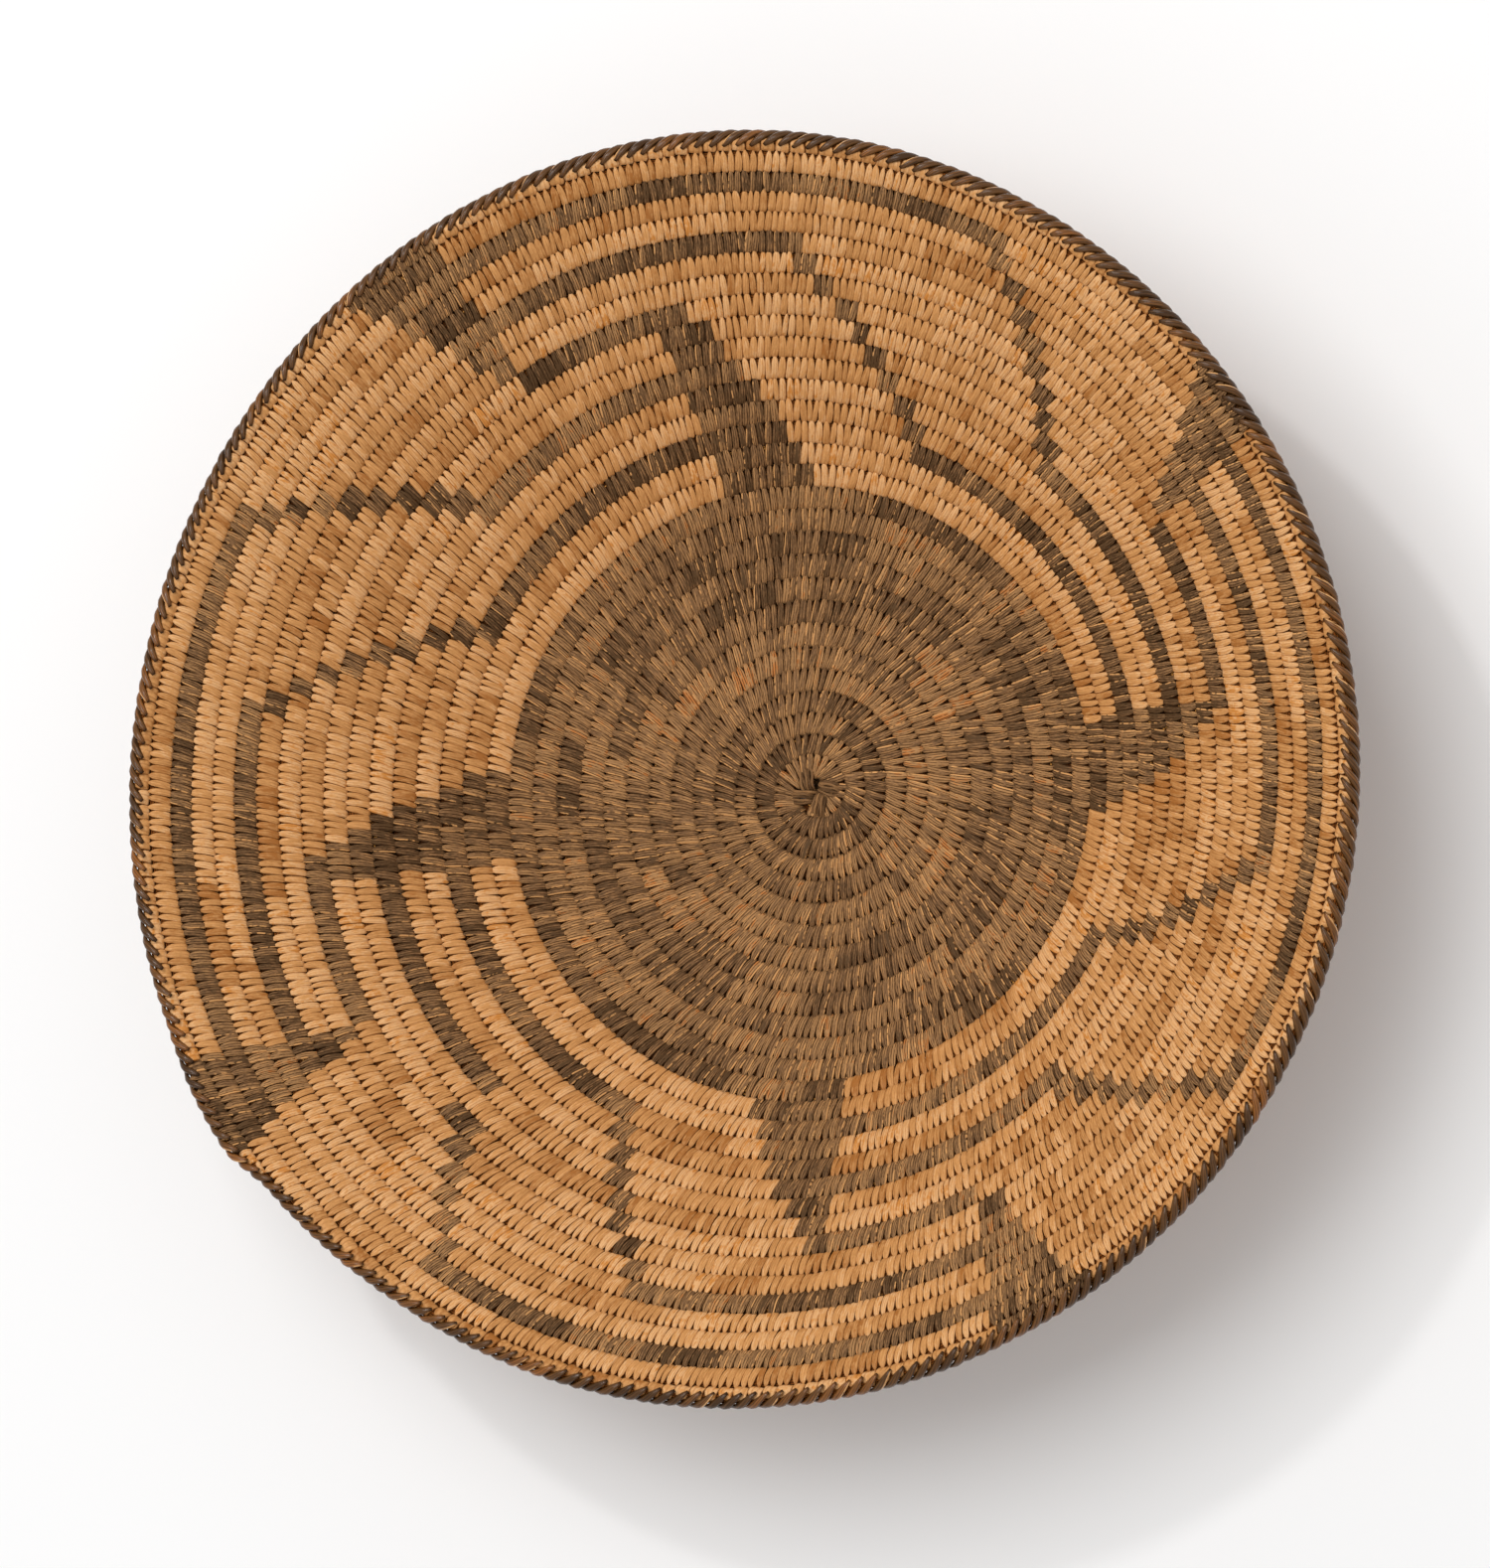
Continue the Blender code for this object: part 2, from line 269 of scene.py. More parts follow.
def coil_span(turns):
    """The coil's middle up the profile, its width and its thickness after a number of turns."""
    inner, outer = coil_edges(turns)
    low = girth(inner)
    high = girth(outer) - BRAID_ROOM * rim_room(turns)
    thickness = COIL_THICKNESS - 2 * RIM_THINNING * rim_room(turns)
    thickness *= min(1, TAIL_THICKNESS + outer - inner, between(START_THICKNESS, 1, turns))
    return (low + high) / 2, max(high - low, LEAST_SPAN), thickness


def coil_turns(row_from_rim, azimuth):
    """Turns along the coil at a row counted in from the rim and an azimuth."""
    return ROW_COUNT - row_from_rim + (azimuth - COIL_END_AZIMUTH) % 360 / 360


def between(low, high, share):
    """The value at a share of the way from one value to another."""
    return low + (high - low) * share


def zigzag(band_end, band_start, top_row, bottom_row):
    """The short runs, one to a row, that climb from the end of a band to the start of another."""
    rows = bottom_row - top_row
    runs = []
    for row in range(top_row, bottom_row + 1):
        share = (bottom_row - row) / rows
        width = between(RUN_DEGREES_FOOT, RUN_DEGREES_HEAD, share)
        left = between(band_end - RUN_DEGREES_FOOT / 2, band_start - RUN_DEGREES_HEAD / 2, share)
        runs.append((row, left, left + width))
    return runs


def patch_right(quarter, row):
    """The azimuth of a rim patch's right edge at a row."""
    patch_wide, patch_narrow = quarter[6:8]
    top, bottom = PATCH_ROWS
    return between(patch_wide, patch_narrow, (row - top) / (bottom - top))


def quarter_runs(quarter, following):
    """One quarter's dark runs: each has a row from the rim and its first and last azimuth."""
    arm_low, arm_high, right_high, right_low, patch_low, patch_tip = quarter[:6]
    bands = (quarter[8:10], quarter[10:12])
    arm_top, arm_bottom = ARM_ROWS
    runs = []
    lower_ends = {row: band[0] for row, band in zip(LOWER_BAND_ROWS, bands)}
    for row in range(arm_top, arm_bottom + 1):
        share = (row - arm_top) / (arm_bottom - arm_top)
        left = between(arm_high, arm_low, share)
        right = patch_tip if row == arm_top else lower_ends.get(row, between(right_high, right_low, share))
        runs.append((row, left, right))
    for row in range(PATCH_ROWS[0], PATCH_ROWS[1] + 1):
        left = between(patch_low, patch_tip, (row - PATCH_ROWS[0]) / (arm_top - PATCH_ROWS[0]))
        runs.append((row, left, patch_right(quarter, row)))
    for lower, upper, (lower_end, upper_start) in zip(LOWER_BAND_ROWS, UPPER_BAND_ROWS, bands):
        crosses_coil_end = right_low < COIL_END_AZIMUTH < lower_end
        lag = 1 if crosses_coil_end else 0
        runs += zigzag(lower_end, upper_start, upper + 1, lower - 1 - lag)
        runs.append((upper, upper_start, patch_right(following, upper)))
    return runs


def dark_runs():
    """Every dark stretch of the coil, as turns from its start."""
    turned = [tuple(angle + 360 for angle in QUARTERS[0])]
    last_arm_right = QUARTERS[-1][3]
    runs = [(0, coil_turns(ARM_ROWS[1], last_arm_right))]
    for quarter, following in zip(QUARTERS, [*QUARTERS[1:], *turned]):
        for row, first, last in quarter_runs(quarter, following):
            start = coil_turns(row, first)
            runs.append((start, start + (last - first) / 360))
    return runs


DARK_RUNS = dark_runs()


def is_dark(turns):
    """True where the coil is sewn with dark splints."""
    return any(first <= turns < last for first, last in DARK_RUNS)


def turn_length(turns):
    """The length of one turn of the coil, at a number of turns from its start."""
    return 2 * math.pi * on_profile(coil_span(turns)[0])[0]


def sewn_turns(sizes, pull):
    """Where the stitches lie, as turns: even steps, each pulled to a gap between two of the row before."""
    even = FIRST_STITCH_TURNS
    turns = [even]
    gap = 0
    chance = np.random.default_rng(sizes.seed)
    while even < ROW_COUNT + TAIL_TURNS:
        wide = even > ROW_COUNT - 1 and not is_dark(even)
        usual = sizes.stitch_spacing * (1 - CENTRE_CROWDING * max(0, 1 - even / CROWDED_ROWS))
        step = (sizes.rim_stitch_spacing if wide else usual) / turn_length(even)
        even += step
        aim = even + step * STRAY_STEPS * sizes.unevenness * chance.uniform(-1, 1)
        if aim > SET_FROM_TURNS:
            while (turns[gap] + turns[gap + 1]) / 2 + 1 < aim - step / 2:
                gap += 1
            aim += pull * ((turns[gap] + turns[gap + 1]) / 2 + 1 - aim)
        turns.append(aim)
    return turns[:-1]


class TraySizes(bpy.types.PropertyGroup):
    """The tray's sizes that a maker would change."""

    stitch_spacing: bpy.props.FloatProperty(
        name="Stitch spacing", description="From one stitch to the next along the coil",
        default=0.00232, min=0.001, unit="LENGTH",
    )
    rim_stitch_spacing: bpy.props.FloatProperty(
        name="Rim stitch spacing", description="From one wide light stitch of the rim row to the next",
        default=0.0046, min=0.001, unit="LENGTH",
    )
    stitch_bulge: bpy.props.FloatProperty(
        name="Stitch bulge", description="How far the middle of a stitch stands over its edges",
        default=0.00032, min=0.0001, unit="LENGTH",
    )
    strand_spacing: bpy.props.FloatProperty(
        name="Strand spacing", description="From one strand of the rim braid to the next",
        default=0.0044, min=0.001, unit="LENGTH",
    )
    strand_width: bpy.props.FloatProperty(
        name="Strand width", description="The width of one strand of the rim braid",
        default=0.0024, min=0.0005, unit="LENGTH",
    )
    wall_lean: bpy.props.FloatProperty(
        name="Lean on the wall", description="How far the wall's stitches lean back from the fall line",
        default=math.radians(11), unit="ROTATION",
    )
    centre_lean: bpy.props.FloatProperty(
        name="Lean in the centre", description="How far the stitches of the centre lean back",
        default=math.radians(18), unit="ROTATION",
    )
    unevenness: bpy.props.FloatProperty(
        name="Unevenness", description="How much the stitches differ in size and lean, from 0 to 1",
        default=0.5, min=0, max=1,
    )
    seed: bpy.props.IntProperty(
        name="Seed", description="Another number gives other stitches", default=7, min=1,
    )


class TrayColours(bpy.types.PropertyGroup):
    """The tray's colours."""

    light: bpy.props.FloatVectorProperty(
        name="Light splints", description="The usual colour of the light stitches",
        subtype="COLOR", size=3, min=0, max=1, default=linear("#D2975A"),
    )
    dark: bpy.props.FloatVectorProperty(
        name="Dark splints", description="The usual colour of the dark stitches",
        subtype="COLOR", size=3, min=0, max=1, default=linear("#A0774D"),
    )
    rim: bpy.props.FloatVectorProperty(
        name="Rim splints", description="The usual colour of the braided rim",
        subtype="COLOR", size=3, min=0, max=1, default=linear("#62401F"),
    )
    stems: bpy.props.FloatVectorProperty(
        name="Stems", description="The colour of the split stems that show between the dark stitches",
        subtype="COLOR", size=3, min=0, max=1, default=linear("#E4A050"),
    )
    floor: bpy.props.FloatVectorProperty(
        name="Floor", description="The floor that the tray stands on",
        subtype="COLOR", size=3, min=0, max=1, default=linear("#F4F4F4"),
    )


def feed(tree, node, inputs):
    """Set a node's inputs, named or in their order, or link them to other nodes or their sockets."""
    for key, value in inputs.items() if isinstance(inputs, dict) else enumerate(inputs):
        socket = node.inputs[key] if isinstance(key, int) else None
        socket = socket or next(found for found in node.inputs if found.name == key and found.enabled)
        if isinstance(value, bpy.types.Node):
            value = next(found for found in value.outputs if found.enabled)
        if isinstance(value, bpy.types.NodeSocket):
            tree.links.new(value, socket)
        else:
            socket.default_value = value


def add_node(tree, kind, inputs=(), stops=(), **settings):
    """Add a node with its settings, its inputs, and its ramp's stops of a place and a linear colour."""
    node = tree.nodes.new(kind)
    for name, value in settings.items():
        setattr(node, name, value)
    if stops:
        elements = node.color_ramp.elements
        while len(elements) < len(stops):
            elements.new(0.5)
        for element, (position, colour) in zip(elements, stops):
            element.position = position
            element.color = (*colour, 1)
    feed(tree, node, inputs)
    return node


def new_material(name):
    """A material with only its shader and output."""
    material = bpy.data.materials.new(name)
    material.use_nodes = True
    tree = material.node_tree
    tree.nodes.clear()
    shader = tree.nodes.new("ShaderNodeBsdfPrincipled")
    add_node(tree, "ShaderNodeOutputMaterial", {"Surface": shader.outputs["BSDF"]})
    return material, tree, shader


def tinted(colour, factor):
    """A colour made lighter or darker."""
    return tuple(part * factor for part in colour)


def dress(tree, shader, colour, roughness, height, depth, gloss):
    """Give a shader its colour, its roughness, its relief and how much it mirrors."""
    relief = add_node(tree, "ShaderNodeBump", {"Height": height, "Distance": depth, "Strength": 0.8})
    finish = {"Base Color": colour, "Roughness": roughness, "Specular IOR Level": gloss, "Normal": relief}
    feed(tree, shader, finish)


def grain_parts(tree):
    """A splint's own coordinates, along it in millimetres; its place across, from -1 to 1; and its painted
    shade and grime at the ends.
    """
    grain = add_node(tree, "ShaderNodeAttribute", attribute_name="grain").outputs["Vector"]
    parts = add_node(tree, "ShaderNodeSeparateXYZ", {"Vector": grain}).outputs
    return grain, parts["Y"], parts["Z"]


def fibre_noise(tree, grain, tone, along, across, detail=3):
    """Noise drawn out along the splint, other on each one, with its frequencies to the millimetre."""
    shift = add_node(tree, "ShaderNodeMath", (tone, 97.0), operation="MULTIPLY")
    offset = add_node(tree, "ShaderNodeCombineXYZ", {"X": shift, "Y": shift, "Z": shift})
    scaled = add_node(tree, "ShaderNodeVectorMath", (grain, (along, across, 0)), operation="MULTIPLY")
    moved = add_node(tree, "ShaderNodeVectorMath", (scaled, offset), operation="ADD")
    return add_node(tree, "ShaderNodeTexNoise", {"Vector": moved, "Scale": 1.0, "Detail": detail})


def splint_material(name, tones, edge, roughness, fibre, bump, gloss, groove, slivers=0.0):
    """Split plant splints: fibres along them, grooves, painted shade at the edges and in the grooves, and
    painted shade and grime where they go in.

    Slivers is the share of them that keep a pale strip of the split wood along one edge.
    """
    material, tree, shader = new_material(name)
    tone = add_node(tree, "ShaderNodeAttribute", attribute_name="tone").outputs["Fac"]
    grain, across, end_shade_and_dirt = grain_parts(tree)
    fine = fibre_noise(tree, grain, tone, 0.22, 2.3)
    broad = fibre_noise(tree, grain, tone, 0.30, 0.9, detail=2)
    spread = add_node(tree, "ShaderNodeMath", (fine, fibre, -fibre / 2), operation="MULTIPLY_ADD")
    blotch = add_node(tree, "ShaderNodeMath", (broad, fibre, -fibre / 2), operation="MULTIPLY_ADD")
    shade = add_node(tree, "ShaderNodeMath", (tone, spread), operation="ADD")
    shade = add_node(tree, "ShaderNodeMath", (shade, blotch), operation="ADD")
    colour = add_node(tree, "ShaderNodeValToRGB", (shade,), stops=tones)
    # Painted shade: the splint darkens towards its edges, in the gaps between stitches.
    side = add_node(tree, "ShaderNodeMath", (across,), operation="ABSOLUTE")
    side = add_node(tree, "ShaderNodeMapRange", (side, 0.86, 1.0))
    # Each splint has about three grooves between its fibres, that come and go along it.
    lot = add_node(tree, "ShaderNodeMath", (tone, 41.0), operation="MULTIPLY")
    lot = add_node(tree, "ShaderNodeMath", (across, 1.5, lot), operation="MULTIPLY_ADD")
    away = add_node(tree, "ShaderNodeMath", (lot,), operation="FRACT")
    away = add_node(tree, "ShaderNodeMath", (away, 0.5), operation="SUBTRACT")
    away = add_node(tree, "ShaderNodeMath", (away,), operation="ABSOLUTE")
    line = add_node(tree, "ShaderNodeMapRange", (away, 0.20, 0.06))
    depth = add_node(tree, "ShaderNodeMapRange", (broad, 0.38, 0.50, 0.0, groove))
    cut = add_node(tree, "ShaderNodeMath", (line, depth), operation="MULTIPLY")
    # Painted shade: the edges, the grooves and the ends that go into the valleys all mix towards the edge
    # colour, and the ends carry grime as well.
    shade_and_dirt = add_node(tree, "ShaderNodeMath", (side, end_shade_and_dirt), operation="MAXIMUM")
    shade_and_dirt = add_node(tree, "ShaderNodeMath", (shade_and_dirt, cut), operation="MAXIMUM")
    shade_and_dirt_mix = {"Factor": shade_and_dirt, "A": colour, "B": (*edge, 1)}
    colour = add_node(tree, "ShaderNodeMix", shade_and_dirt_mix, data_type="RGBA")
    if slivers:
        # The strip lies just inside one edge, worn off here and there, and ends where the splint goes in.
        chosen = add_node(tree, "ShaderNodeMath", (tone, 173.0), operation="MULTIPLY")
        chosen = add_node(tree, "ShaderNodeMath", (chosen,), operation="FRACT")
        chosen = add_node(tree, "ShaderNodeMath", (chosen, slivers), operation="LESS_THAN")
        strip = add_node(tree, "ShaderNodeMapRange", (across, 0.50, 0.60))
        for limit in (
            add_node(tree, "ShaderNodeMapRange", (across, 1.0, 0.92)),
            chosen,
            add_node(tree, "ShaderNodeMath", (1.0, end_shade_and_dirt), operation="SUBTRACT"),
            add_node(tree, "ShaderNodeMapRange", (broad, 0.42, 0.50)),
        ):
            strip = add_node(tree, "ShaderNodeMath", (strip, limit), operation="MULTIPLY")
        split = {"Factor": strip, "A": colour, "B": (*linear("#DCA468"), 1)}
        colour = add_node(tree, "ShaderNodeMix", split, data_type="RGBA")
    worn = add_node(tree, "ShaderNodeMapRange", (fine, 0.0, 1.0, roughness - 0.08, roughness + 0.1))
    relief = add_node(tree, "ShaderNodeMath", (fine, cut), operation="SUBTRACT")
    dress(tree, shader, colour, worn, relief, bump, gloss)
    return material


def light_splint(colours):
    """Aged light splints: honey to tan with a soft sheen, a few of them orange."""
    light = tuple(colours.light)
    tones = (
        (0.0, linear("#A66A32")), (0.3, tinted(light, 0.86)), (0.5, light),
        (0.75, linear("#E2B07A")), (1.0, linear("#D08A42")),
    )
    # 824008 is the painted shade colour of the gaps, the grooves and the valley ends.
    return splint_material("aged light splint", tones, linear("#824008"), 0.5, 0.85, 0.00016, 0.18, 0.35)


def dark_splint(colours):
    """Dark splints: olive to reddish brown with clear fibres, a few of them orange brown."""
    dark = tuple(colours.dark)
    tones = (
        (0.0, linear("#584028")), (0.3, linear("#846140")), (0.55, dark),
        (0.82, tinted(dark, 1.3)), (1.0, linear("#BC7840")),
    )
    # The painted shade colour of the gaps, the grooves and the valley ends.
    edge = linear("#341A04")
    return splint_material("dark splint", tones, edge, 0.65, 1.15, 0.0002, 0.1, 0.9, slivers=0.4)


def rim_splint(colours):
    """Dark brown splints of the rim, rubbed to a soft gloss by handling."""
    rim = tuple(colours.rim)
    tones = ((0.0, tinted(rim, 0.45)), (0.5, rim), (1.0, linear("#8E5828")))
    # The painted shade colour of the strands' edges, grooves and ends.
    edge = linear("#1C0C02")
    return splint_material("polished rim splint", tones, edge, 0.24, 0.8, 0.00008, 0.28, 0.7, slivers=0.2)


def stem_material(colours):
    """Split stems of the foundation, side by side: pale straw under the dark splints, brown elsewhere."""
    material, tree, shader = new_material("split stems")
    tone = add_node(tree, "ShaderNodeAttribute", attribute_name="tone").outputs["Fac"]
    grain, around, _ = grain_parts(tree)
    patches = fibre_noise(tree, grain, tone, 0.25, 0.6, detail=2)
    straw = ((0.60, linear("#4A2608")), (0.68, tuple(colours.stems)))
    bright = add_node(tree, "ShaderNodeValToRGB", (patches,), stops=straw)
    covered = {"Factor": tone, "A": (*linear("#8A4E1E"), 1), "B": bright}
    colour = add_node(tree, "ShaderNodeMix", covered, data_type="RGBA")
    # The stems' round backs, about a millimetre apart, with painted shade in the seams between them
    wave = add_node(tree, "ShaderNodeMath", (around, 2 * math.pi / 0.95), operation="MULTIPLY")
    wave = add_node(tree, "ShaderNodeMath", (wave,), operation="SINE")
    seam = add_node(tree, "ShaderNodeMapRange", (wave, -0.5, -1.0))
    seamed = {"Factor": seam, "A": colour, "B": (*linear("#3A1C08"), 1)}
    colour = add_node(tree, "ShaderNodeMix", seamed, data_type="RGBA")
    dress(tree, shader, colour, 0.7, wave, 0.0002, 0.05)
    return material


def link_object(name, mesh):
    """A new object in the scene, at the origin."""
    item = bpy.data.objects.new(name, mesh)
    bpy.context.scene.collection.objects.link(item)
    return item


def finished(name, shape, material=None):
    """The object that a shape becomes, with its faces turned outwards."""
    bmesh.ops.recalc_face_normals(shape, faces=shape.faces)
    mesh = bpy.data.meshes.new(name)
    shape.to_mesh(mesh)
    shape.free()
    if material:
        mesh.materials.append(material)
    return link_object(name, mesh)


def skin(shape, rings):
    """Join a line of rings into a tube with capped ends; returns its side faces, ring by ring."""
    faces = []
    for ring, following in zip(rings, rings[1:]):
        for side in range(len(ring)):
            after = (side + 1) % len(ring)
            faces.append(shape.faces.new((ring[side], ring[after], following[after], following[side])))
            faces[-1].smooth = True
    shape.faces.new(rings[0])
    shape.faces.new(rings[-1])
    return faces


def finish_piece(piece, node):
    """Let a piece stand for its solid and ride on the tray."""
    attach(piece, "root")
    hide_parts(node)


def loop_template(name, route, bulge, skew):
    """One splint as a closed band round the coil, for the tree to place: x across, y along, z off the wall.

    The route has a place across, a height, a half width and its painted shade and grime at each of its
    stations.
    """
    shape = bmesh.new()
    grain = shape.verts.layers.float_vector.new("grain")
    map_layer = shape.loops.layers.uv.new("OFBake")
    count = len(route)
    rings, travelled = [], 0.0
    reach = Vector((CENTRE_PITCH + RIM_PITCH, 0, COIL_THICKNESS)) / 2
    for index, (across, height, half_width, shade_and_dirt) in enumerate(route):
        here = Vector((across, 0, height))
        before, after = route[index - 1], route[(index + 1) % count]
        heading = Vector((after[0] - before[0], 0, after[1] - before[1]))
        inward = Vector((heading.z * reach.z, 0, -heading.x * reach.x)).normalized()
        drop = Vector((inward.x / reach.x, 0, inward.z / reach.z)) * bulge
        sideways = skew * (1 - (across / 0.5) ** 2) if height > 0 else 0
        ring = []
        for side, sunk in ((-1, 1), (-SHOULDER, 0), (SHOULDER, 0), (1, 1)):
            point = here + drop * sunk + Vector((0, side * half_width + sideways, 0))
            vertex = shape.verts.new(point)
            vertex[grain] = Vector((travelled * 1000, side, shade_and_dirt))
            ring.append(vertex)
        rings.append(ring)
        stride = Vector((after[0] - across, 0, after[1] - height))
        travelled += math.hypot(stride.x * reach.x * 2, stride.z * reach.z)
    for index in range(count):
        ring, following = rings[index], rings[(index + 1) % count]
        for side in range(4):
            corners = (ring[side], ring[(side + 1) % 4], following[(side + 1) % 4], following[side])
            face = shape.faces.new(corners)
            face.smooth = True
            low, high = (side / 3, (side + 1) / 3) if side < 3 else (1, 0)
            spots = ((index, low), (index, high), (index + 1, high), (index + 1, low))
            for loop, (run, rise) in zip(face.loops, spots):
                loop[map_layer].uv = (0.04 + 0.92 * run / count, 0.08 + 0.84 * rise)
    return finished(name, shape)


def stitch_template(name, top, bulge):
    """A stitch: its inner side, then its outer side, with painted shade and grime where its ends go into
    the valleys.
    """
    # Painted shade and grime where the stitch goes into the valleys, from 0 for none to 1.
    shade_and_dirt = [0.9, 0.25, *[0.0] * (len(top) - 3), 0.5]
    under = [0.8, 0.0, 0.0, 0.8]
    route = [(*station, spot) for station, spot in zip((*top, *STITCH_UNDER), (*shade_and_dirt, *under))]
    return loop_template(name, route, bulge, -0.1)


def sewing_tree():
    """The tree that places one splint at each point, uneven as hand work is, and makes them one mesh."""
    tree = bpy.data.node_groups.new("Sewn splints", "GeometryNodeTree")
    for name, kind in (
        ("Geometry", "Geometry"), ("Splint", "Object"), ("Unevenness", "Float"), ("Splint Length", "Float"),
        ("Map Columns", "Float"), ("Map Rows", "Float"), ("Waviness", "Float"), ("Tone Shift", "Float"),
        ("Seed", "Int"), ("Material", "Material"),
    ):
        tree.interface.new_socket(name, in_out="INPUT", socket_type="NodeSocket" + kind)
    tree.interface.new_socket("Geometry", in_out="OUTPUT", socket_type="NodeSocketGeometry")
    given = tree.nodes.new("NodeGroupInput").outputs
    number = tree.nodes.new("GeometryNodeInputIndex")

    stored = {
        name: add_node(tree, "GeometryNodeInputNamedAttribute", {"Name": name}, data_type=data_type)
        for name, data_type in (
            ("facing", "FLOAT_VECTOR"), ("outward", "FLOAT_VECTOR"), ("room", "FLOAT_VECTOR"),
            ("lean", "FLOAT"), ("OFBake", "FLOAT_VECTOR"), ("cell", "FLOAT_VECTOR"),
        )
    }

    def chance(seed, identity=number):
        """A random number from 0 to 1, other for each seed and for each splint or other identity."""
        shifted = add_node(tree, "ShaderNodeMath", (given["Seed"], float(seed)), operation="ADD")
        return add_node(tree, "FunctionNodeRandomValue", {"ID": identity, "Seed": shifted})

    def about(middle, seed, size):
        """A random number round a middle one, up to a size away at full unevenness."""
        centred = add_node(tree, "ShaderNodeMath", (chance(seed), 0.5), operation="SUBTRACT")
        scaled = add_node(tree, "ShaderNodeMath", (centred, given["Unevenness"]), operation="MULTIPLY")
        scaled = add_node(tree, "ShaderNodeMath", (scaled, 2 * size), operation="MULTIPLY")
        return add_node(tree, "ShaderNodeMath", (middle, scaled), operation="ADD")

    points = add_node(tree, "GeometryNodeMeshToPoints", {"Mesh": given["Geometry"]})
    splint = add_node(tree, "GeometryNodeObjectInfo", {"Object": given["Splint"], "As Instance": True})
    turned = add_node(
        tree, "FunctionNodeAxesToRotation",
        {"Primary Axis": stored["facing"], "Secondary Axis": stored["outward"]},
        primary_axis="Z", secondary_axis="X",
    )
    growth = add_node(
        tree, "ShaderNodeCombineXYZ",
        (about(1.0, 1, VARIETY_ACROSS), about(1.0, 2, VARIETY_ALONG), about(1.0, 3, VARIETY_OFF)),
    )
    size = add_node(tree, "ShaderNodeVectorMath", (stored["room"], growth), operation="MULTIPLY")
    placed = add_node(
        tree, "GeometryNodeInstanceOnPoints",
        {"Points": points, "Instance": splint.outputs["Geometry"], "Rotation": turned, "Scale": size},
    )
    lean = add_node(tree, "ShaderNodeCombineXYZ", {"Z": about(stored["lean"], 4, VARIETY_LEAN)})
    swung = add_node(tree, "GeometryNodeRotateInstances", {"Instances": placed, "Rotation": lean})
    # One splint sews several stitches before the next one starts, so its stitches are alike.
    length = add_node(tree, "ShaderNodeMath", (number, given["Splint Length"]), operation="DIVIDE")
    length = add_node(tree, "ShaderNodeMath", (length,), operation="FLOOR")
    own = (chance(5), OWN_TONE, given["Tone Shift"])
    own = add_node(tree, "ShaderNodeMath", own, operation="MULTIPLY_ADD")
    shared = (chance(6, length), SHARED_TONE, own)
    shared = add_node(tree, "ShaderNodeMath", shared, operation="MULTIPLY_ADD")
    toned = add_node(
        tree, "GeometryNodeStoreNamedAttribute", {"Geometry": swung, "Name": "tone", "Value": shared},
        data_type="FLOAT", domain="INSTANCE",
    )
    column = add_node(tree, "ShaderNodeMath", (number, given["Map Columns"]), operation="FLOORED_MODULO")
    row = add_node(tree, "ShaderNodeMath", (number, given["Map Columns"]), operation="DIVIDE")
    row = add_node(tree, "ShaderNodeMath", (row,), operation="FLOOR")
    cell = add_node(tree, "ShaderNodeCombineXYZ", (column, row))
    celled = add_node(
        tree, "GeometryNodeStoreNamedAttribute", {"Geometry": toned, "Name": "cell", "Value": cell},
        data_type="FLOAT_VECTOR", domain="INSTANCE",
    )
    real = add_node(tree, "GeometryNodeRealizeInstances", {"Geometry": celled})
    cells = add_node(tree, "ShaderNodeCombineXYZ", (given["Map Columns"], given["Map Rows"], 1.0))
    spot = add_node(tree, "ShaderNodeVectorMath", (stored["OFBake"], stored["cell"]), operation="ADD")
    spot = add_node(tree, "ShaderNodeVectorMath", (spot, cells), operation="DIVIDE")
    mapped = add_node(
        tree, "GeometryNodeStoreNamedAttribute", {"Geometry": real, "Name": "OFBake", "Value": spot},
        data_type="FLOAT2", domain="CORNER",
    )
    bare = add_node(tree, "GeometryNodeRemoveAttribute", {"Geometry": mapped, "Name": "cell"})
    swirls = add_node(tree, "ShaderNodeTexNoise", {"Scale": 260.0, "Detail": 1.0}).outputs["Color"]
    wave = add_node(tree, "ShaderNodeVectorMath", (swirls, (0.5, 0.5, 0.5)), operation="SUBTRACT")
    wave = add_node(tree, "ShaderNodeVectorMath", {0: wave, "Scale": given["Waviness"]}, operation="SCALE")
    bent = add_node(tree, "GeometryNodeSetPosition", {"Geometry": bare, "Offset": wave})
    dressed = add_node(tree, "GeometryNodeSetMaterial", {"Geometry": bent, "Material": given["Material"]})
    add_node(tree, "NodeGroupOutput", {"Geometry": dressed})
    return tree


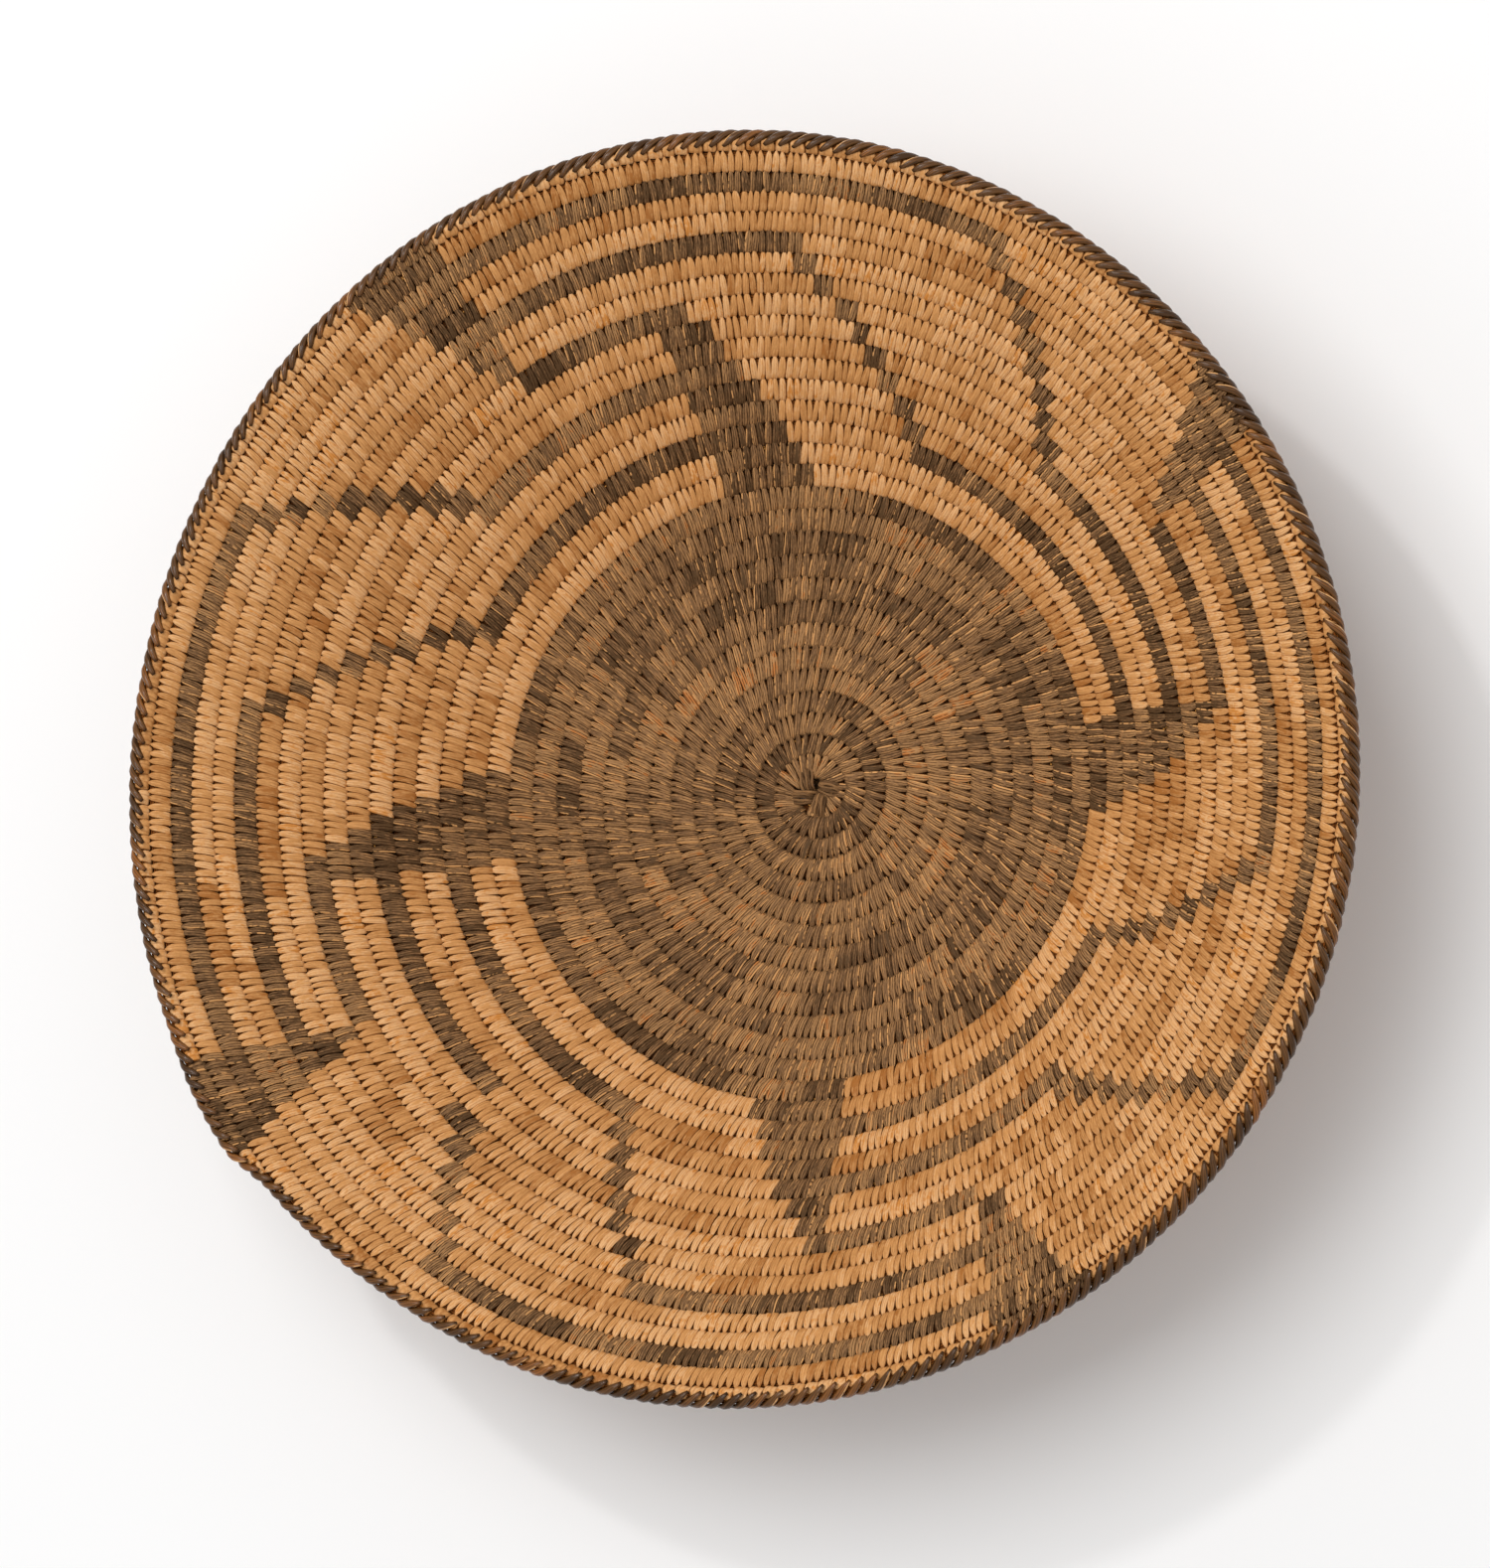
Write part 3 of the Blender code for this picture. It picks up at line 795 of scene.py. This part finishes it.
def sew(name, tree, points, values):
    """A piece with one splint at each point, made plain mesh.

    Each point has its place, its direction outward and off the wall, its room and its lean.
    """
    mesh = bpy.data.meshes.new(name)
    mesh.from_pydata([point[0] for point in points], [], [])
    for label, kind, column in (
        ("outward", "FLOAT_VECTOR", 1), ("facing", "FLOAT_VECTOR", 2), ("room", "FLOAT_VECTOR", 3),
    ):
        layer = mesh.attributes.new(label, kind, "POINT")
        layer.data.foreach_set("vector", np.array([point[column] for point in points], float).ravel())
    mesh.attributes.new("lean", "FLOAT", "POINT").data.foreach_set("value", [point[4] for point in points])
    piece = link_object(name, mesh)
    modifier = piece.modifiers.new("Sewn splints", "NODES")
    modifier.node_group = tree
    columns = max(1, round(math.sqrt(len(points) / MAP_CELL_SHAPE)))
    values = {**values, "Map Columns": float(columns), "Map Rows": float(math.ceil(len(points) / columns))}
    for item in tree.interface.items_tree:
        if item.in_out == "INPUT" and item.name in values:
            modifier[item.identifier] = values[item.name]
    piece.update_tag()
    graph = bpy.context.evaluated_depsgraph_get()
    made = bpy.data.meshes.new_from_object(
        piece.evaluated_get(graph), preserve_all_data_layers=True, depsgraph=graph
    )
    piece.modifiers.remove(modifier)
    piece.data = made
    made.name = name
    bpy.data.meshes.remove(mesh)
    if not made.polygons:
        raise RuntimeError(f"{name} came out empty")
    return piece


def coil_point(turns, width, reach, lean):
    """Where a stitch lies: its place, its directions, the room it has and its lean."""
    middle, span, thickness = coil_span(turns)
    azimuth = azimuth_of(turns)
    along, outward, facing = axes_at(azimuth, middle)
    room = Vector((span * reach, width, thickness / 2))
    return place(azimuth, middle), outward, facing, room, lean


def tube(name, sections, grains, material):
    """A smooth tube through rings of points with their grains and tones, and capped ends."""
    shape = bmesh.new()
    grain = shape.verts.layers.float_vector.new("grain")
    tone = shape.verts.layers.float.new("tone")
    rings = []
    for section, spots in zip(sections, grains):
        ring = [shape.verts.new(point) for point in section]
        for vertex, (spot, shade) in zip(ring, spots):
            vertex[grain], vertex[tone] = spot, shade
        rings.append(ring)
    skin(shape, rings)
    return finished(name, shape, material)


class TrayFoundation(bpy.types.Operator):
    """The bundle of split stems, one piece to a row."""

    bl_idname = "tray.foundation"
    bl_label = "Foundation"

    sides = 12
    station_length = 0.0045
    sunk = 0.00042

    def execute(self, context):
        material = stem_material(context.scene.tray_colours)
        for row in range(1, ROW_COUNT + 1):
            last = row + (TAIL_TURNS if row == ROW_COUNT else 0)
            count = round((last - row + 1) * turn_length(row - 0.5) / self.station_length)
            sections, grains = [], []
            for turns in np.linspace(row - 1, last, max(count, 24)):
                middle, span, thickness = coil_span(turns)
                high = max(thickness / 2 - self.sunk, self.sunk / 2)
                ring, spots = [], []
                run = turns * turn_length(turns) * 1000
                for side in range(self.sides):
                    angle = 2 * math.pi * side / self.sides
                    across, over = math.cos(angle) * span / 2, math.sin(angle) * high
                    ring.append(place(azimuth_of(turns), middle, across, over))
                    # Half the girth in millimetres, up one face and back down the other: no seam shows.
                    around = math.acos(math.cos(angle)) * (span / 2 + high) / 2 * 1000
                    spots.append((Vector((run, around, 0)), float(is_dark(turns))))
                sections.append(ring)
                grains.append(spots)
            piece = tube(f"coil_row_{row:02d}_foundation", sections, grains, material)
            finish_piece(piece, f"coil_row_{row:02d}")
        return {"FINISHED"}


class TrayStitches(bpy.types.Operator):
    """The light and the dark stitches, one piece of each to a row."""

    bl_idname = "tray.stitches"
    bl_label = "Stitches"

    # How many stitches one splint makes, and how much of its room a stitch fills, along the row and across
    splint_length = {"light": 14.0, "dark": 11.0}
    fullness = {"light": 1.03, "dark": 1.02}
    reach = {"light": 1.0, "dark": 1.05}
    # How many rows out the lean of the centre goes over to that of the wall
    centre_rows = 12
    # How far the stitches wave
    waviness = 0.0003
    # How much darker or lighter the dark splints are, by row: darkest at the start and in the pattern
    dark_rows = (
        (1, -0.18), (3, -0.16), (4, 0.0), (6, 0.09), (7, 0.07), (9, -0.11), (12, -0.05), (14, -0.12),
    )
    # How far a stitch is pulled to the gap between two of the row before, from 0 to 1
    pull = 0.4

    def execute(self, context):
        sizes, colours = context.scene.tray_sizes, context.scene.tray_colours
        materials = {"light": light_splint(colours), "dark": dark_splint(colours)}
        usual = stitch_template("stitch", STITCH_TOP, sizes.stitch_bulge)
        wide = stitch_template("rim_stitch", RIM_STITCH_TOP, sizes.stitch_bulge)
        first = stitch_template("start_stitch", START_STITCH_TOP, sizes.stitch_bulge)
        tree = sewing_tree()
        turns = sewn_turns(sizes, self.pull)
        rows = {}
        for before, aim, after in zip(turns, turns[1:], turns[2:]):
            here = (before + 2 * aim + after) / 4
            row = min(int(here) + 1, ROW_COUNT)
            shade = "dark" if is_dark(here) else "light"
            width = (after - before) / 2 * turn_length(here)
            if coil_span(here)[1] < width / 2:
                continue
            centre = max(0, 1 - here / self.centre_rows)
            lean = sizes.wall_lean + (sizes.centre_lean - sizes.wall_lean) * centre
            point = coil_point(here, width * self.fullness[shade], self.reach[shade], -lean)
            rows.setdefault((row, shade, row == ROW_COUNT and shade == "light"), []).append(point)
        for (row, shade, is_wide), points in sorted(rows.items()):
            values = {
                "Splint": first if row == 1 else wide if is_wide else usual,
                "Unevenness": sizes.unevenness,
                "Splint Length": self.splint_length[shade],
                "Tone Shift": float(np.interp(row, *zip(*self.dark_rows))) if shade == "dark" else 0.0,
                "Waviness": self.waviness,
                "Seed": sizes.seed + row,
                "Material": materials[shade],
            }
            piece = sew(f"coil_row_{row:02d}_{shade}_stitches", tree, points, values)
            finish_piece(piece, f"coil_row_{row:02d}")
        for template in (usual, wide, first):
            bpy.data.objects.remove(template)
        return {"FINISHED"}


class TrayRimBraid(bpy.types.Operator):
    """The dark strands that run over the rim row at a slant, each under the next like a rope's."""

    bl_idname = "tray.rim_braid"
    bl_label = "Rim braid"

    # A strand's way over the rim: the angle round it where it starts on the inner face and where it ends
    # on the outer one, and how far it runs along the rim on its way
    face_ends = (76.0, -100.0)
    travel = 0.0110
    thickness = 0.0015
    # How far the strands' middle lies off the coil, and how much a strand rolls to lie on its neighbour
    lift = 0.0009
    roll = math.radians(14)
    # How far a strand waves, how many strands look alike, and its length in millimetres for its grain
    waviness = 0.0004
    alike = 3.0
    grain_length = 15
    stations = 14
    sides = 6

    def execute(self, context):
        sizes, colours = context.scene.tray_sizes, context.scene.tray_colours
        count = round(turn_length(ROW_COUNT - 0.5) / sizes.strand_spacing)
        first = ROW_COUNT - 1 + TAIL_TURNS
        template = self.strand("strand", sizes.strand_width)
        values = {
            "Splint": template, "Unevenness": 0.5 * sizes.unevenness, "Splint Length": self.alike,
            "Waviness": self.waviness, "Seed": sizes.seed, "Material": rim_splint(colours),
        }
        points = [self.strand_point(first + index / count) for index in range(count)]
        piece = sew("rim_braid_strands", sewing_tree(), points, values)
        finish_piece(piece, "rim_braid")
        bpy.data.objects.remove(template)
        return {"FINISHED"}

    def strand_point(self, turns):
        """Where a strand lies on the last row: its place, its directions, its room and its lean."""
        azimuth = azimuth_of(turns)
        middle = girth(coil_edges(turns)[1]) - BRAID_ROOM * rim_room(turns)
        middle -= coil_span(ROW_COUNT - 0.4)[1] / 2
        _, outward, facing = axes_at(azimuth, middle)
        return place(azimuth, middle), outward, facing, Vector((1, 1, 1)), 0.0

    def strand(self, name, width):
        """One lens-shaped strand, in metres, from the inner face up to the edge and over it."""
        _, span, thickness = coil_span(ROW_COUNT - 0.4)
        wide, high = span / 2 + self.lift, thickness / 2 + self.lift

        def on_rim(share):
            angle = math.radians(between(*self.face_ends, share))
            run = between(self.travel / 2, -self.travel / 2, share)
            return Vector((wide * math.cos(angle), run, high * math.sin(angle))), angle

        shape = bmesh.new()
        grain = shape.verts.layers.float_vector.new("grain")
        map_layer = shape.loops.layers.uv.new("OFBake")
        rings = []
        last = self.stations - 1
        for index in range(self.stations):
            share = index / last
            spot, angle = on_rim(share)
            heading = (on_rim(share + 0.01)[0] - on_rim(share - 0.01)[0]).normalized()
            off = Vector((math.cos(angle) / wide, 0, math.sin(angle) / high)).normalized()
            sideways = off.cross(heading).normalized()
            # Narrow at its ends, and nearly as wide as it gets over most of its length
            lens = math.sin(math.pi * between(0.05, 0.95, share)) ** 0.4
            ring = []
            for step in range(self.sides):
                turn = 2 * math.pi * (step + 0.25) / self.sides
                reach = math.cos(turn) * width / 2 * lens
                rise = math.sin(turn) * self.thickness / 2 * lens + reach * math.tan(self.roll)
                vertex = shape.verts.new(spot + sideways * reach + off * rise)
                # Painted shade at the strand's two ends: the material darkens them towards its edge colour.
                end = float(index in (0, last))
                vertex[grain] = Vector((share * self.grain_length, math.cos(turn), end))
                ring.append(vertex)
            rings.append(ring)
        for number, face in enumerate(skin(shape, rings)):
            index, step = divmod(number, self.sides)
            spots = ((index, step), (index, step + 1), (index + 1, step + 1), (index + 1, step))
            for loop, (run, rise) in zip(face.loops, spots):
                loop[map_layer].uv = (0.05 + 0.9 * run / last, 0.05 + 0.9 * rise / self.sides)
        return finished(name, shape)


class TrayPlaitedStart(bpy.types.Operator):
    """The four flat bundles that cross at the centre, each of a few splints side by side."""

    bl_idname = "tray.plaited_start"
    bl_label = "Plaited start"

    width = 0.0046
    length = 0.0180
    spacing = 0.0042
    splints = 5
    # Half of a splint's thickness, and half its width as a share of its room
    splint_height = 0.00055
    splint_fullness = 0.54
    # How far the bundles keep from the coil's faces, and how steeply they go from one to the other
    sunk = 0.0003
    slope_length = 0.0006
    # How much the splints draw together over the neighbour, and on what length
    squeeze = 0.16
    squeeze_length = 0.0022
    # How far a bundle's middle stands over its edges
    crown = 0.0005
    # How far each bundle is turned, in degrees, and how far the splints stray
    turns = (-16.0, -4.0, 9.0, -9.0)
    stray = 0.0005
    # A splint's length in millimetres, for its grain
    grain_length = 15

    def execute(self, context):
        # Unseeded, Blender's noise starts from the clock and is other in each run.
        seed_set(context.scene.tray_sizes.seed)
        material = dark_splint(context.scene.tray_colours)
        material.name = "dark splint of the start"
        crossings = ((True, 1, False), (True, -1, True), (False, -1, False), (False, 1, True))
        for number, (along_x, side, high_first) in enumerate(crossings, start=1):
            piece = self.bundle(number, along_x, side, high_first, material)
            finish_piece(piece, f"start_bundle_{number}")
        return {"FINISHED"}

    def bundle(self, number, along_x, side, high_first, material):
        """One bundle: it shows on its high half and dips under its neighbour on the other."""
        shape = bmesh.new()
        grain = shape.verts.layers.float_vector.new("grain")
        tone = shape.verts.layers.float.new("tone")
        top, bottom, end = COIL_THICKNESS - self.sunk, self.sunk, COIL_THICKNESS / 2
        turned = Matrix.Rotation(math.radians(self.turns[number - 1]), 3, "Z")
        stations, sides = 24, 8
        for splint in range(self.splints):
            offset = (splint + 0.5) / self.splints - 0.5
            rings = []
            for index in range(stations + 1):
                share = index / stations
                reach = (share - 0.5) * self.length
                # High on its own half and low on the other, and back to the middle of the coil at its ends
                rise = 1 / (1 + math.exp(-(-reach if high_first else reach) / self.slope_length))
                sunk = max(0, abs(2 * share - 1) - 0.55) / 0.45
                level = between(between(bottom, top, rise), end, sunk * sunk)
                level += self.crown * math.cos(math.pi * offset) * (2 * rise - 1)
                fade = min(1, 8 * min(share, 1 - share) + 0.3)
                # The splints draw together where they come up over the neighbour
                drawn = 1 - self.squeeze * math.exp(-((reach / self.squeeze_length) ** 2))
                middle = side * self.spacing / 2 + offset * self.width * drawn
                ring = []
                for step in range(sides):
                    turn = 2 * math.pi * step / sides
                    across = middle + math.cos(turn) * self.width / self.splints * self.splint_fullness
                    up = level + math.sin(turn) * self.splint_height * fade
                    spot = Vector((reach, across, up) if along_x else (across, reach, up))
                    spot += self.stray * noise_vector(Vector((reach * 300, number * 7, splint * 5)))
                    vertex = shape.verts.new(turned @ spot)
                    vertex[grain] = Vector((share * self.grain_length, math.cos(turn), 0))
                    vertex[tone] = 0.12 + 0.11 * ((splint * 7 + number * 3) % 5)
                    ring.append(vertex)
                rings.append(ring)
            skin(shape, rings)
        return finished(f"start_bundle_{number}_splints", shape, material)


class TrayStage(bpy.types.Operator):
    """A pale floor, soft studio light and the camera."""

    bl_idname = "tray.stage"
    bl_label = "Stage"

    # The camera: how it leans from straight above, towards +X and +Y, and what it looks at
    lean_x = 17.85
    lean_y = -3.93
    aim = (-0.00868, -0.00051, 0.050)
    distance = 2.300
    lens = 171.25
    floor_size = 6.0
    # Each light's name, place, size and power; what the lights point at; and the strength of the world's
    lights = (("key", (-0.3, 0.6, 2.3), 1.5, 27.0), ("glint", (-0.6, 1.1, 2.1), 0.14, 7.5))
    lights_aim = (0, 0, 0.05)
    world_strength = 0.62

    def execute(self, context):
        scene = context.scene
        scene.view_settings.view_transform = "Standard"
        self.floor(scene)
        self.camera(scene)
        for light in self.lights:
            self.light(*light)
        world = bpy.data.worlds.new("studio")
        scene.world = world
        world.use_nodes = True
        background = world.node_tree.nodes["Background"]
        background.inputs["Color"].default_value = (1, 1, 1, 1)
        background.inputs["Strength"].default_value = self.world_strength
        return {"FINISHED"}

    def floor(self, scene):
        """A wide floor at the tray's foot."""
        half = self.floor_size / 2
        mesh = bpy.data.meshes.new("floor")
        corners = [(-half, -half, 0), (half, -half, 0), (half, half, 0), (-half, half, 0)]
        mesh.from_pydata(corners, [], [(0, 1, 2, 3)])
        material, tree, shader = new_material("matt paper floor")
        shader.inputs["Base Color"].default_value = (*scene.tray_colours.floor, 1)
        shader.inputs["Roughness"].default_value = 0.9
        mesh.materials.append(material)
        floor = link_object("floor", mesh)

    def camera(self, scene):
        """The camera at the photograph's angle, with +Y up in its picture."""
        lean_x, lean_y = math.radians(self.lean_x), math.radians(self.lean_y)
        back = Vector((math.sin(lean_x), math.tan(lean_y), math.cos(lean_x))).normalized()
        right = Vector((0, 1, 0)).cross(back).normalized()
        up = back.cross(right)
        data = bpy.data.cameras.new("camera")
        data.lens = self.lens
        data.clip_end = 20
        camera = bpy.data.objects.new("camera", data)
        scene.collection.objects.link(camera)
        turn = Matrix((right, up, back)).transposed().to_4x4()
        camera.matrix_world = Matrix.Translation(Vector(self.aim) + back * self.distance) @ turn
        scene.camera = camera

    def light(self, name, spot, size, power):
        """A square soft light that points at the tray."""
        data = bpy.data.lights.new(name, "AREA")
        data.size = size
        data.energy = power
        light = bpy.data.objects.new(name, data)
        bpy.context.scene.collection.objects.link(light)
        light.location = spot
        light.rotation_euler = (Vector(self.lights_aim) - Vector(spot)).to_track_quat("-Z", "Y").to_euler()


class TrayPanel(bpy.types.Panel):
    """The tray's sizes, colours and steps."""

    bl_idname = "VIEW3D_PT_tray"
    bl_label = "Coiled tray"
    bl_space_type = "VIEW_3D"
    bl_region_type = "UI"
    bl_category = "Tray"

    def draw(self, context):
        for group in (context.scene.tray_sizes, context.scene.tray_colours):
            for name in group.bl_rna.properties.keys():
                if name not in ("rna_type", "name"):
                    self.layout.prop(group, name)
        for step in STEPS:
            self.layout.operator(step.bl_idname)


STEPS = (TrayStage, TrayFoundation, TrayStitches, TrayRimBraid, TrayPlaitedStart)
CLASSES = (TraySizes, TrayColours, *STEPS, TrayPanel)


def register():
    for item in CLASSES:
        bpy.utils.register_class(item)
    bpy.types.Scene.tray_sizes = bpy.props.PointerProperty(type=TraySizes)
    bpy.types.Scene.tray_colours = bpy.props.PointerProperty(type=TrayColours)


def unregister():
    del bpy.types.Scene.tray_colours
    del bpy.types.Scene.tray_sizes
    for item in reversed(CLASSES):
        bpy.utils.unregister_class(item)


def main():
    """Make the whole scene."""
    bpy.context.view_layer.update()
    register()
    for step in STEPS:
        group, name = step.bl_idname.split(".")
        getattr(getattr(bpy.ops, group), name)()


if __name__ == "__main__":
    main()
